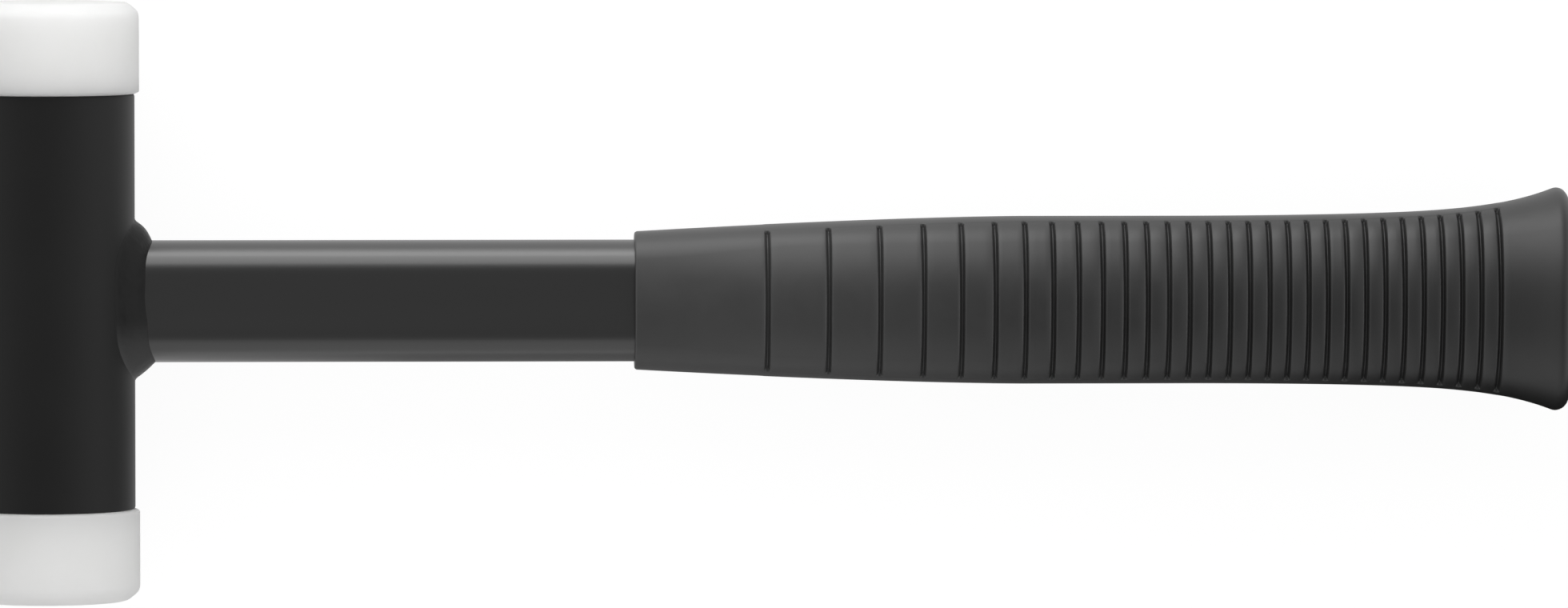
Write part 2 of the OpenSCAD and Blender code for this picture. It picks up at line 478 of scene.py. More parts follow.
@dataclass(frozen=True)
class Nylon(Finish):
    """Natural nylon, turned from bar: a milky white that lets light in at its edges, with a dull
    sheen and fine turning marks, rings on the ends and bands on the sides."""

    name: str = "natural_nylon_turned"
    dark: str = "#f2f2f0"
    light: str = "#f6f6f5"
    roughness: float = 0.55
    specular: float = 0.12
    ior: float = 1.53
    gloss_spread: float = 0.05
    depth_mm: float = 9.0
    ring_mm: float = 0.35
    ring_wobble: float = 0.6
    ring_depth_mm: float = 0.0015
    cloud_mm: float = 9.0

    def make(self, axis: Vector) -> Material:
        """Builds the nylon.

        Args:
            axis: Middle of the head, which the turning marks go round.

        Returns:
            The material. The marks are drawn coarser than the real 0.1 mm, so that they show.
        """
        material, tree, place = new_material(self.name)
        rings, bands = (
            lathe_marks(tree, place, axis, where, self.ring_mm, self.ring_wobble) for where in Marks
        )
        marks = add_node(tree, "Math", {0: rings, 1: bands}, operation="ADD")
        milkiness = {"Vector": place, "Scale": per_metre(self.cloud_mm), "Detail": 3.0}
        clouds = add_node(tree, "TexNoise", milkiness)
        self.coat(
            tree, [(clouds, self.light)], clouds, [(marks, self.ring_depth_mm)],
            Subsurface_Weight=1.0,
            Subsurface_Radius=(1.0, 1.0, 1.0),
            Subsurface_Scale=self.depth_mm * MM,
        )
        return material


@dataclass(frozen=True)
class Rubber(Finish):
    """Black rubber, moulded in a blasted mould: a dark grey with a dull sheen, a fine grain and
    faint streaks across. A lighter grey lies in chalky patches of the rubber's own. Painted light
    lays more of it on the plain front and fades it out to none at the butt, as light that falls
    off along the grip. Its places are shares of the grip's length."""

    name: str = "black_rubber_moulded"
    dark: str = "#0e0e0e"
    light: str = "#353535"
    roughness: float = 0.47
    specular: float = 0.78
    ior: float = 1.52
    gloss_spread: float = 0.06
    grain_mm: float = 0.22
    grain_depth_mm: float = 0.004
    streak_mm: float = 1.2
    streak_stretch: float = 5.0
    streak_depth_mm: float = 0.016
    patch_mm: float = 6.0
    patch_warp: float = 0.4
    patch_share: float = 0.35
    front_until: float = 0.1
    front_end: float = 0.5
    painted_falloff_from: float = 0.5
    painted_falloff_to: float = 0.82

    def make(self, start: float, length: float) -> Material:
        """Builds the rubber.

        Args:
            start: Where the grip starts along X.
            length: The grip's length.

        Returns:
            The material. Its grain is drawn coarser than the real 0.1 mm, so that it shows.
        """
        material, tree, place = new_material(self.name)
        squeeze = 1 / self.streak_stretch
        across = add_node(tree, "Mapping", {"Vector": place, "Scale": (1.0, squeeze, squeeze)})
        patch_scale = per_metre(self.patch_mm)
        patterns = (
            {"Vector": place, "Scale": per_metre(self.grain_mm), "Detail": 3.0},
            {"Vector": across, "Scale": per_metre(self.streak_mm), "Detail": 2.0},
            {"Vector": place, "Scale": patch_scale, "Detail": 4.0, "Distortion": self.patch_warp},
        )
        grain, streaks, patches = (add_node(tree, "TexNoise", pattern) for pattern in patterns)
        # Painted light: the lighter grey is strongest at the front and fades to none at the butt.
        reaches = ((self.front_end, self.front_until), (self.painted_falloff_to, self.painted_falloff_from))
        front, painted_falloff = (
            ramp(tree, place, "X", start + none_at * length, start + full_at * length)
            for none_at, full_at in reaches
        )
        bloom_and_painted_light = add_node(tree, "Mix", {0: self.patch_share, 2: front, 3: patches})
        bloom_and_painted_light = add_node(tree, "Math", {0: bloom_and_painted_light, 1: painted_falloff}, operation="MULTIPLY")
        relief = [(streaks, self.streak_depth_mm), (grain, self.grain_depth_mm)]
        self.coat(tree, [(bloom_and_painted_light, self.light)], patches, relief)
        return material


@dataclass(frozen=True)
class TurnedSteel(Finish):
    """Bright steel, faced on a lathe: fine rings round the middle that draw out its reflections."""

    name: str = "bright_steel_faced"
    dark: str = "#9fa1a3"
    light: str = "#b4b6b8"
    roughness: float = 0.31
    metallic: float = 1.0
    gloss_spread: float = 0.07
    ring_mm: float = 0.25
    ring_wobble: float = 1.0
    ring_depth_mm: float = 0.002
    stain_mm: float = 5.0

    def make(self, axis: Vector) -> Material:
        """Builds the steel.

        Args:
            axis: Middle of the head, which the lathe's rings go round.

        Returns:
            The material.
        """
        material, tree, place = new_material(self.name)
        ends = Marks.ENDS
        rings = lathe_marks(tree, place, axis, ends, self.ring_mm, self.ring_wobble, detail=2.0)
        blotches = {"Vector": place, "Scale": per_metre(self.stain_mm), "Detail": 4.0}
        stains = add_node(tree, "TexNoise", blotches)
        self.coat(tree, [(stains, self.light)], stains, [(rings, self.ring_depth_mm)])
        return material


@dataclass(frozen=True)
class Grained(Finish):
    """A plain hidden material with a grain: tumbled steel, dulled all over by small dents, or black
    plastic from a spark-eroded mould."""

    grain_mm: float = 0.5
    grain_depth_mm: float = 0.004

    def make(self) -> Material:
        """Builds the material: one grain for colour, gloss and bump.

        Returns:
            The material.
        """
        material, tree, place = new_material(self.name)
        dents = {"Vector": place, "Scale": per_metre(self.grain_mm), "Detail": 4.0}
        grain = add_node(tree, "TexNoise", dents)
        self.coat(tree, [(grain, self.light)], grain, [(grain, self.grain_depth_mm)])
        return material


HEAD_ENAMEL = Enamel("matt_black_enamel_head", "#1b1b1b", "#1f1f1f", roughness=0.5, specular=0.19)
SHAFT_ENAMEL = Enamel(
    "satin_black_enamel_shaft", "#0d0d0d", "#101010",
    roughness=0.31, specular=1.0, ior=1.58, drawn_out=0.08,
)
WELD_ENAMEL = Enamel(
    "matt_black_enamel_weld", "#171717", "#1c1c1c",
    roughness=0.46, specular=0.15, peel_mm=2.2, peel_depth_mm=0.2,
    # Painted light: lighter towards -Y, on the weld's side that the fill lamp lights.
    painted_light="#474747", painted_light_from=-2.0 * MM, painted_light_to=-11.5 * MM,
)
TUMBLED_STEEL = Grained("tumbled_steel_shot", "#6f7173", "#9a9da0", roughness=0.36, metallic=1.0)
BLACK_PLASTIC = Grained(
    "black_plastic_moulded", "#1c1c1c", "#242424",
    roughness=0.5, grain_mm=0.3, grain_depth_mm=0.006,
)


@dataclass
class Head:
    """The shot-filled steel tube with a disc in each end."""

    wall_step: float = 0.6 * MM
    press_gap: float = 0.03 * MM
    edge: float = 0.5 * MM
    disc_edge: float = 0.25 * MM
    spacing: float = 1.5 * MM

    def __post_init__(self) -> None:
        """Reads the tube's and the discs' places from the frame."""
        low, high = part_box("head_tube")
        self.axis: Vector = (low + high) / 2
        self.radius: float = (high.z - low.z) / 2
        self.half: float = (high.y - low.y) / 2
        disc_low, disc_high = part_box(HeadEnd.FRONT.named("disc"))
        self.disc_r: float = (disc_high.z - disc_low.z) / 2
        self.disc_in: float = disc_low.y - self.axis.y
        self.disc_out: float = disc_high.y - self.axis.y
        self.seat_r: float = self.disc_r + self.press_gap

    def saddle(self, z: Array) -> Array:
        """Gives how far along X the tube's surface reaches at each depth: sqrt(R^2 - z^2)."""
        return self.axis.x + np.sqrt(self.radius**2 - z**2)

    def turn(self, name: str, profile: Array, end: HeadEnd) -> Piece:
        """Turns a solid from its profile of radius and height, facing the way that its end does."""
        open_profile = profile[profile[:, 0] > 0] * (1, end.value)
        return surface(end.named(name), lathe(open_profile, self.axis))

    def build_tube(self) -> Piece:
        """Makes the tube: a closed wall outline of radius and height, carried round the axis.

        Returns:
            The tube, with rounded ends and a stepped seat inside each.
        """
        seat_r, chamber_r = self.seat_r, self.seat_r - self.wall_step
        r, half, step = self.radius, self.half, self.disc_in
        corners = np.array(
            [
                (chamber_r, -step), (seat_r, -step), (seat_r, -half), (r, -half),
                (r, half), (seat_r, half), (seat_r, step), (chamber_r, step),
            ]
        )
        lip = self.edge / 2
        reach = np.array([0.0, 0.0, lip, self.edge, self.edge, lip, 0.0, 0.0])
        outline = soften(corners, reach)
        closed = fill_in(np.vstack([outline, outline[:1]]), self.spacing)[:-1]
        return surface("tube_wall", lathe(closed, self.axis), ring=True)

    def build_disc(self, end: HeadEnd) -> Piece:
        """Makes one closing disc: a flat profile with eased edges, carried round the axis.

        Args:
            end: Which end it closes.

        Returns:
            The disc.
        """
        r, near, far = self.disc_r, self.disc_in, self.disc_out
        corners = np.array([(0.0, near), (r, near), (r, far), (0.0, far)])
        reach = np.array([0.0, self.disc_edge, self.disc_edge, 0.0])
        return self.turn("closing_disc", fill_in(soften(corners, reach), self.spacing), end)

    def dress(self) -> None:
        """Builds and dresses the tube and both discs."""
        settle(self.build_tube(), HEAD_ENAMEL.make(), HAMMER_BODY, "head_tube")
        steel = TurnedSteel().make(self.axis)
        for end in HeadEnd:
            settle(self.build_disc(end), steel, HAMMER_BODY, end.named("disc"))


@dataclass
class StrikingFace:
    """A push-in nylon face with a ringed spigot, one in each end of the head."""

    head: Head
    chamfer: float = 2.0 * MM
    chamfer_len: float = 1.6 * MM
    chamfer_ease: float = 0.6 * MM
    chamfer_round: float = 1.0 * MM
    shoulder: float = 0.7 * MM
    shoulder_len: float = 0.35 * MM
    shoulder_ease: float = 0.25 * MM
    spigot_gap: float = 0.05 * MM
    ring_groove: float = 0.4 * MM
    ring_ease: float = 0.0625 * MM
    rings: int = 3
    spacing: float = 0.8 * MM

    def __post_init__(self) -> None:
        """Reads the face's place from the frame."""
        low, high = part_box(HeadEnd.FRONT.named("face"))
        self.radius: float = (high.z - low.z) / 2
        self.tip: float = low.y - self.head.axis.y
        self.top: float = high.y - self.head.axis.y
        self.spigot_r: float = self.head.seat_r - self.spigot_gap

    def spigot(self) -> Array:
        """Gives the spigot's outline: its led-in tip, then a square groove as long as each ring.

        Returns:
            Points of radius and height, from the axis up to the last ring.
        """
        pitch = (self.head.half - self.tip) / (2 * self.rings + 1)
        top, floor, tip = self.spigot_r, self.spigot_r - self.ring_groove, self.tip
        lead = np.array([(0.0, tip), (floor, tip), (top, tip + self.ring_groove)])
        radius = np.tile([top, floor, floor, top], self.rings)
        step = 2 * np.repeat(np.arange(self.rings), 4) + np.tile([1, 1, 2, 2], self.rings)
        return np.vstack([lead, np.column_stack([radius, tip + pitch * step])])

    def build(self, end: HeadEnd) -> Piece:
        """Makes one face: its profile of radius and height, carried round the axis.

        Args:
            end: Which end of the head it fits.

        Returns:
            The face.
        """
        spigot = self.spigot()
        seat, top, r = self.head.half, self.top, self.radius
        body = np.array(
            [
                (self.spigot_r, seat), (r - self.shoulder, seat), (r, seat + self.shoulder_len),
                (r, top - self.chamfer_len), (r - self.chamfer, top), (0.0, top),
            ]
        )
        shoulder = [0.0, self.shoulder_ease, self.shoulder_ease]
        striking_edge = [self.chamfer_round, self.chamfer_ease, 0.0]
        rings = np.full(len(spigot) - 1, self.ring_ease)
        reach = np.concatenate([[0.0], rings, shoulder, striking_edge])
        profile = fill_in(soften(np.vstack([spigot, body]), reach), self.spacing)
        return self.head.turn("nylon_face", profile, end)

    def dress(self) -> None:
        """Builds and dresses both faces."""
        nylon = Nylon().make(self.head.axis)
        for end in HeadEnd:
            settle(self.build(end), nylon, end.named("insert"), end.named("face"))


@dataclass
class Shaft:
    """The flat-oval steel tube, the weld round its foot and the plug in its far end. The weld's
    crown_lean, sink, flow, toe, root and soft are shares of its legs, its crown or a corner,
    and each sway has its share, its waves round the bead and where they start."""

    head: Head
    wall: float = 1.5 * MM
    around: int = 48
    straight: int = 16
    foot_row: float = 0.004
    outer_rows: int = 38
    inner_rows: int = 12
    weld_leg: float = 3.0 * MM
    weld_lean: float = 0.3 * MM
    weld_crown: float = 0.3 * MM
    weld_crown_lean: float = 0.35
    weld_sways: tuple[tuple[float, int, float], ...] = ((0.04, 3, 0.4), (0.025, 7, 1.9))
    weld_sink: float = 0.015
    weld_flow: float = 0.2
    weld_toe: float = 0.05
    weld_root: float = 0.06
    weld_soft: float = 0.95
    weld_spacing: float = 0.07
    weld_around: int = 90
    weld_straight: int = 40

    def __post_init__(self) -> None:
        """Reads the shaft's section and its far end from the frame."""
        low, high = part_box("handle_shaft")
        self.radius: float = (high.z - low.z) / 2
        self.flat: float = (high.y - low.y) / 2 - self.radius
        self.end: float = high.x

    def build_tube(self) -> Piece:
        """Makes the shaft: rows of flat ovals from the head to the far end and back inside.

        A row at share s lies at x = saddle(z) + s (end - saddle(z)), so its foot fits the head.

        Returns:
            The shaft.
        """
        shift, angle = oval_stations(self.around, self.straight)
        evenly = np.linspace(2 * self.foot_row, 1.0, self.outer_rows)
        outer = np.concatenate([[0.0, self.foot_row], evenly])
        inner = np.linspace(1.0, 0.0, self.inner_rows)
        share = np.concatenate([outer, inner])[:, None]
        radii = [self.radius, self.radius - self.wall]
        radius = np.repeat(radii, [len(outer), len(inner)])[:, None]
        y = self.head.axis.y + self.flat * shift + radius * np.cos(angle)
        z = radius * np.sin(angle)
        foot = self.head.saddle(z)
        x = foot + share * (self.end - foot)
        return surface("shaft_tube", np.stack([x, y, self.head.axis.z + z], axis=-1), ring=True)

    def build_weld(self) -> Piece:
        """Makes the weld: a fillet's section carried round the shaft's foot.

        The section is drawn in shares of its two legs: u out from the shaft and v over the head,
        with a straight face from (1, 0) to (0, 1) that the enamel eases into both surfaces. A crown
        of sin(pi t) bows the face, where t runs from toe to toe. A point lies at out = head leg * u
        from the shaft, and at x = saddle(z) + shaft leg * v. The legs lean to one side of the shaft
        and sway along the bead, by the sum of share * sin(waves * turn + start).

        Returns:
            The weld bead, closed by a hidden root inside the metal.
        """
        shift, angle = oval_stations(self.weld_around, self.weld_straight)
        side = (self.flat * shift + self.radius * np.cos(angle)) / (self.flat + self.radius)
        turn = np.linspace(0.0, 2 * np.pi, len(angle), endpoint=False)
        amount, waves, start = np.array(self.weld_sways).T[:, :, None]
        sway = (amount * np.sin(waves * turn + start)).sum(axis=0)
        head_leg = (self.weld_leg + self.weld_lean * side) * (1 + sway)
        shaft_leg = (self.weld_leg - self.weld_lean * side) * (1 - sway)
        sink, root = -self.weld_sink, -self.weld_root
        flow, toe = 1 + self.weld_flow, 1 + self.weld_toe
        corners = np.array([(flow, sink), (1.0, 0.0), (0.0, 1.0), (sink, toe), (root, root)])
        reach = self.weld_soft * np.array([0.0, self.weld_flow, self.weld_toe, 0.0, 0.0])
        section = fill_in(soften(corners, reach), self.weld_spacing)
        u, v = section[:, :1], section[:, 1:]
        is_face = np.minimum(u, v) > root / 2
        bow = np.sin(np.pi * np.clip((v - u + 1) / 2, 0.0, 1.0)) * is_face
        crown = self.weld_crown * (1 - self.weld_crown_lean * (1 - side)) * bow
        out = self.radius + head_leg * u + crown
        x = self.head.saddle(out * np.sin(angle)) + shaft_leg * v + crown
        y = self.head.axis.y + self.flat * shift + out * np.cos(angle)
        z = self.head.axis.z + out * np.sin(angle)
        return surface("weld_fillet", np.stack([x, y, z], axis=-1), ring=True)

    def dress(self) -> None:
        """Builds and dresses the shaft and the weld, and dresses the plug."""
        settle(self.build_tube(), SHAFT_ENAMEL.make(), HAMMER_BODY, "handle_shaft")
        settle(self.build_weld(), WELD_ENAMEL.make(), HAMMER_BODY, "weld_bead")
        dress_node("shaft_plug", BLACK_PLASTIC.make())


@dataclass
class Grip:
    """The rubber sleeve: a flat oval that swells to a belly and flares at the butt, with grooves
    across both broad sides that end at a plain land along each narrow edge. The rows and columns
    at its details are given in shares of the detail's size."""

    shaft: Shaft
    front_h: float = 22.6 * MM
    belly_h: float = 27.4 * MM
    swell: float = 64 * MM
    swell_power: float = 1.5
    rear_start: float = 90 * MM
    rear_h: float = 3.0 * MM
    rear_power: float = 2.0
    flare_h: float = 8.2 * MM
    flare_power: float = 6.8
    crown_front: float = math.radians(17)
    crown_belly: float = math.radians(29)
    crown_rise: float = 30 * MM
    butt_r: float = 1.9 * MM
    butt_wall: float = 11.5 * MM
    plain_lean: float = 1e-4
    bore_gap: float = 0.03 * MM
    mouth: float = 0.25 * MM
    front_edge: float = 0.4 * MM
    grooves: int = 30
    groove_first: float = 21.7 * MM
    pitch_front: float = 10.0 * MM
    pitch_rear: float = 3.12 * MM
    decay: float = 0.766
    groove_w: float = 1.0 * MM
    groove_ease: float = 1.25
    groove_depth: float = 0.7 * MM
    groove_stop: float = 0.4 * MM
    land_w: float = 7.0 * MM
    land_step: float = 0.04 * MM
    seam_w: float = 0.3 * MM
    seam_h: float = 0.05 * MM
    spacing: float = 1.1 * MM
    groove_rows: tuple[float, ...] = (0.0, 0.08, 0.17, 0.26, 0.35, 0.44, 0.53, 0.64)
    bore_caps: tuple[float, ...] = (0.15, 0.5, 0.8, 0.95)
    bore_rows: int = 8
    edge_rows: int = 7
    face_rows: int = 4
    butt_rows: int = 12
    butt_caps: tuple[float, float] = (0.95, 0.05)
    seam_columns: tuple[float, ...] = (0.0, 0.3, 0.6, 1.0, 2.5)
    land_columns: tuple[float, ...] = (0.4, 0.6, 0.8)
    stop_columns: tuple[float, ...] = (-1.0, -0.75, -0.5, -0.25, 0.0, 0.6, 1.6)
    edge_columns: int = 14
    side_columns: int = 13

    def __post_init__(self) -> None:
        """Reads the grip's ends from the frame, and works out the arc round its butt."""
        low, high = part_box("grip_sleeve")
        self.start: float = low.x
        self.length: float = high.x - low.x
        self.butt_x: float = self.length - self.butt_r
        near = self.half_height(np.array([self.butt_x - self.butt_r, self.butt_x]))
        self.butt_lean: float = math.atan((near[1] - near[0]) / self.butt_r)
        self.butt_start: float = self.butt_x - self.butt_r * math.sin(self.butt_lean)
        at_start = self.half_height(np.array([self.butt_start]))[0]
        self.butt_centre: float = at_start - self.butt_r * math.cos(self.butt_lean)

    def half_height(self, x: Array) -> Array:
        """Gives half the grip's height: an eased swell to the belly, then two rises to the butt.

        The swell is 1 - (1 - s)^swell_power, and the rises are powers of the share of the rear.

        Args:
            x: Distances from the grip's front.

        Returns:
            The half heights.
        """
        swell = 1 - (1 - np.minimum(1.0, x / self.swell)) ** self.swell_power
        t = np.maximum(0.0, x - self.rear_start) / (self.length - self.rear_start)
        height = self.front_h + (self.belly_h - self.front_h) * swell
        rises = self.rear_h * t**self.rear_power + self.flare_h * t**self.flare_power
        return (height + rises) / 2

    def lean(self, x: Array) -> Array:
        """Gives how far the broad sides lean at their ends: an eased rise from front to belly."""
        rise = ease(0.0, self.crown_rise, x)
        return self.crown_front + (self.crown_belly - self.crown_front) * rise

    def flat(self, lean: Array | float) -> Array:
        """Gives the broad sides' half width, f / (1 - tan(lean / 2)), which keeps the thickness."""
        return self.shaft.flat / (1 - np.tan(lean / 2))

    def groove_places(self) -> Array:
        """Gives the grooves' distances from the front, whose spacing decays to the rear pitch."""
        i = np.arange(self.grooves)
        extra = (self.pitch_front - self.pitch_rear) * (1 - self.decay**i) / (1 - self.decay)
        return self.groove_first + i * self.pitch_rear + extra

    def outer_rows(self) -> Array:
        """Places the rows along the outside: even ones, and close ones across each groove.

        Returns:
            Distances from the front, from the front edge to the butt's arc.
        """
        places = self.groove_places()
        across = np.array(self.groove_rows) * self.groove_w
        close = (places[:, None] + np.concatenate([-across, across[1:]])).ravel()
        count = round(self.butt_start / self.spacing)
        even = np.linspace(self.front_edge, self.butt_start, count)
        clear = np.abs(even[:, None] - places).min(axis=1) > self.groove_w
        return np.sort(np.concatenate([even[clear], close]))

    def rows(self) -> Array:
        """Lists the rows from the bottom of the bore, out of its mouth and back along the outside.

        Returns:
            Each row's distance from the front, section radius, share of full size, lean of its
            broad sides, and 1 if it is on the outside or 0 if not.
        """
        bore_r = self.shaft.radius + self.bore_gap
        bore_end = self.length - self.butt_wall
        bore = np.linspace(bore_end, self.mouth, self.bore_rows)
        outward = np.linspace(np.pi / 2, 0.0, self.edge_rows)[1:-1]
        inward = outward[::-1]
        outer = self.outer_rows()
        lean = self.lean(outer)
        outer_r = self.half_height(outer) - self.flat(lean)
        plain, first, butt = self.plain_lean, lean[0], self.crown_belly
        mouth, edge, edge_r = self.mouth, self.front_edge, outer_r[0]
        mouth_x, mouth_r = mouth * (1 - np.sin(inward)), bore_r + mouth * (1 - np.cos(inward))
        edge_x, edge_rs = edge * (1 - np.sin(outward)), edge_r - edge * (1 - np.cos(outward))
        face_r = np.linspace(bore_r + mouth, edge_r - edge, self.face_rows)
        face_lean = np.linspace(plain, first, self.face_rows)
        arc = np.linspace(-self.butt_lean, np.pi / 2, self.butt_rows)[1:]
        end_r = self.butt_centre - self.flat(butt)
        arc_x, arc_r = self.butt_x + self.butt_r * np.sin(arc), end_r + self.butt_r * np.cos(arc)
        parts = [
            (bore_end, bore_r, np.array(self.bore_caps), plain, 0.0),
            (bore, bore_r, 1.0, plain, 0.0),
            (mouth_x, mouth_r, 1.0, plain, 0.0),
            (0.0, face_r, 1.0, face_lean, 0.0),
            (edge_x, edge_rs, 1.0, first, 0.0),
            (outer, outer_r, 1.0, lean, 1.0),
            (arc_x, arc_r, 1.0, butt, 1.0),
            (self.length, end_r, np.linspace(*self.butt_caps, self.butt_rows), butt, 0.0),
        ]
        return np.vstack([np.stack(np.broadcast_arrays(*part), axis=-1) for part in parts])

    def stations(self, radius: Array, lean: Array) -> Array:
        """Places the columns of each row, with a column on each line that runs along the grip.

        A quarter of the oval starts at the middle of a narrow edge. Its first columns keep their
        depth z from row to row, angle = asin(z / r), so that the seam and the groove ends run
        straight. The rest share out the angle up to the broad side, which turns through its lean
        to both sides of the top.

        Args:
            radius: Section radius of each row.
            lean: How far each row's broad sides lean at their ends.

        Returns:
            The columns' angles, row by column.
        """
        stop = self.land_w / 2
        seam = self.seam_w * np.array(self.seam_columns)
        land = stop * np.array(self.land_columns)
        slope = stop + self.groove_stop * np.array(self.stop_columns)
        fixed = np.arcsin(np.concatenate([seam, land, slope]) / radius)
        last = fixed[:, -1:]
        rest = np.linspace(0.0, 1.0, self.edge_columns)[1:-1]
        quarter = np.hstack([fixed, last + (np.pi / 2 - lean - last) * rest])
        top = np.pi / 2 - lean * np.linspace(1.0, -1.0, self.side_columns)
        near_half = [quarter, top, np.pi - quarter[:, ::-1]]
        far_half = [np.pi + quarter[:, 1:], top + np.pi, 2 * np.pi - quarter[:, :0:-1]]
        return np.hstack(near_half + far_half)

    def build(self) -> Piece:
        """Makes the sleeve from its rows and stations.

        A narrow edge is an arc: y = flat + r cos(angle), z = r sin(angle). A broad side is a wider
        arc that leans to meet it: y = flat cos(angle) / sin(lean) + r cos(angle), and z grows by
        flat (sin(angle) - cos(lean)) / sin(lean). Grooves sink the section radius by their depth,
        in an eased V across and with a short slope at each land. The lands stand a little proud,
        and a moulding seam runs along them.

        Returns:
            The sleeve.
        """
        x, radius, share, lean, outside = self.rows().T[:, :, None]
        angle = self.stations(radius, lean)
        sine, cosine = np.sin(angle), np.cos(angle)
        depth = np.abs(radius * sine)
        places = self.groove_places()
        away = np.abs(x - places).min(axis=1, keepdims=True) / (self.groove_w / 2)
        stop = self.land_w / 2
        past_land = ease(stop - self.groove_stop, stop, depth)
        groove = (1 - ease(0.0, self.groove_ease, away)) * past_land
        after_first = ease(-self.spacing, 0.0, x - places[0])
        before_last = ease(-self.spacing, 0.0, places[-1] - x)
        land = after_first * before_last * (1 - past_land)
        seam = 1 - ease(0.0, self.seam_w, depth)
        relief = self.seam_h * seam + self.land_step * land - self.groove_depth * groove
        section = radius + relief * outside
        flat = self.flat(lean)
        across = np.clip(cosine / np.sin(lean), -1.0, 1.0)
        rise = np.sign(sine) * np.maximum(0.0, np.abs(sine) - np.cos(lean)) / np.sin(lean)
        y = share * (flat * across + section * cosine)
        z = share * (flat * rise + section * sine)
        axis = self.shaft.head.axis
        grid = np.stack([self.start + x + 0 * y, axis.y + y, axis.z + z], axis=-1)
        return surface("grip_rubber_sleeve", grid)

    def dress(self) -> None:
        """Builds and dresses the sleeve."""
        rubber = Rubber().make(self.start, self.length)
        settle(self.build(), rubber, HAMMER_BODY, "grip_sleeve")


@dataclass(frozen=True)
class Softbox:
    """A flat soft lamp on one side of the hammer, with its elevation in degrees."""

    name: str
    side: HeadEnd
    along: float
    elevation: float
    distance: float
    width: float
    height: float
    radiance: float
    reflected: bool = True

    def place(self, target: Vector) -> None:
        """Hangs the lamp, facing the way to the target but shifted along the shaft.

        Blender gives an area lamp a radiance of a quarter of its watts per square metre.

        Args:
            target: Point that the lamp faces before the shift.
        """
        lamp = bpy.data.lights.new(self.name, "AREA")
        lamp.shape = "RECTANGLE"
        lamp.size, lamp.size_y = self.width, self.height
        lamp.energy = 4 * self.radiance * self.width * self.height
        rise = math.radians(self.elevation)
        back = Vector((0.0, self.side.value * math.cos(rise), math.sin(rise)))
        holder = bpy.data.objects.new(self.name, lamp)
        holder.location = target + back * self.distance + Vector((self.along, 0.0, 0.0))
        holder.rotation_euler = (-back).to_track_quat("-Z", "Y").to_euler()
        holder.visible_camera = False
        holder.visible_glossy = self.reflected
        bpy.context.scene.collection.objects.link(holder)


@dataclass(frozen=True)
class Flag:
    """A card on the floor along the lower side of the handle, which only reflections see. It is
    graded from grey to black towards the butt, and is painted shade: it dims the white floor in
    the handle's lower edges."""

    start: float = -102 * MM
    full_from: float = -56 * MM
    end: float = 260 * MM
    near: float = -14 * MM
    far: float = -300 * MM
    lift: float = 0.2 * MM
    grey: str = "#e0e0e0"
    black: str = "#0a0a0a"
    black_from: float = 125 * MM
    roughness: float = 0.9

    def card(self) -> Material:
        """Builds the card's painted shade: a matt grey, which darkens by the square of the way to
        the black.

        Returns:
            The material, clear at the card's start and whole from full_from on.
        """
        material, tree, place = new_material("painted_shade_card_matt")
        along = add_node(tree, "SeparateXYZ", {"Vector": place}, out="X")
        way, cover = (
            add_node(tree, "MapRange", {"Value": along, "From Min": self.start, "From Max": end})
            for end in (self.black_from, self.full_from)
        )
        grade = add_node(tree, "Math", {0: way, 1: way}, operation="MULTIPLY")
        colours = {0: grade, 6: linear(self.grey), 7: linear(self.black)}
        tint = add_node(tree, "Mix", colours, out=2, data_type="RGBA")
        skin = {"Base Color": tint, "Roughness": self.roughness}
        matt = add_node(tree, "BsdfPrincipled", skin)
        clear = add_node(tree, "BsdfTransparent", {})
        mixed = add_node(tree, "MixShader", {0: cover, 1: clear, 2: matt})
        add_node(tree, "OutputMaterial", {"Surface": mixed})
        return material

    def place(self, floor_z: float) -> Piece:
        """Lays the card: one flat rectangle.

        Args:
            floor_z: Height of the floor.

        Returns:
            The card, which throws no shadow.
        """
        x = np.array([self.start, self.end, self.end, self.start])
        y = np.array([self.far, self.far, self.near, self.near])
        corners = np.stack([x, y, 0 * x + floor_z + self.lift], axis=-1)
        flag = add_mesh("painted_shade_flag", corners, [[0, 1, 2, 3]])
        flag.data.materials.append(self.card())
        # Painted shade: only reflections see the card; the camera, other light and shadows pass it
        # by.
        flag.visible_camera = False
        flag.visible_diffuse = False
        flag.visible_shadow = False
        return flag


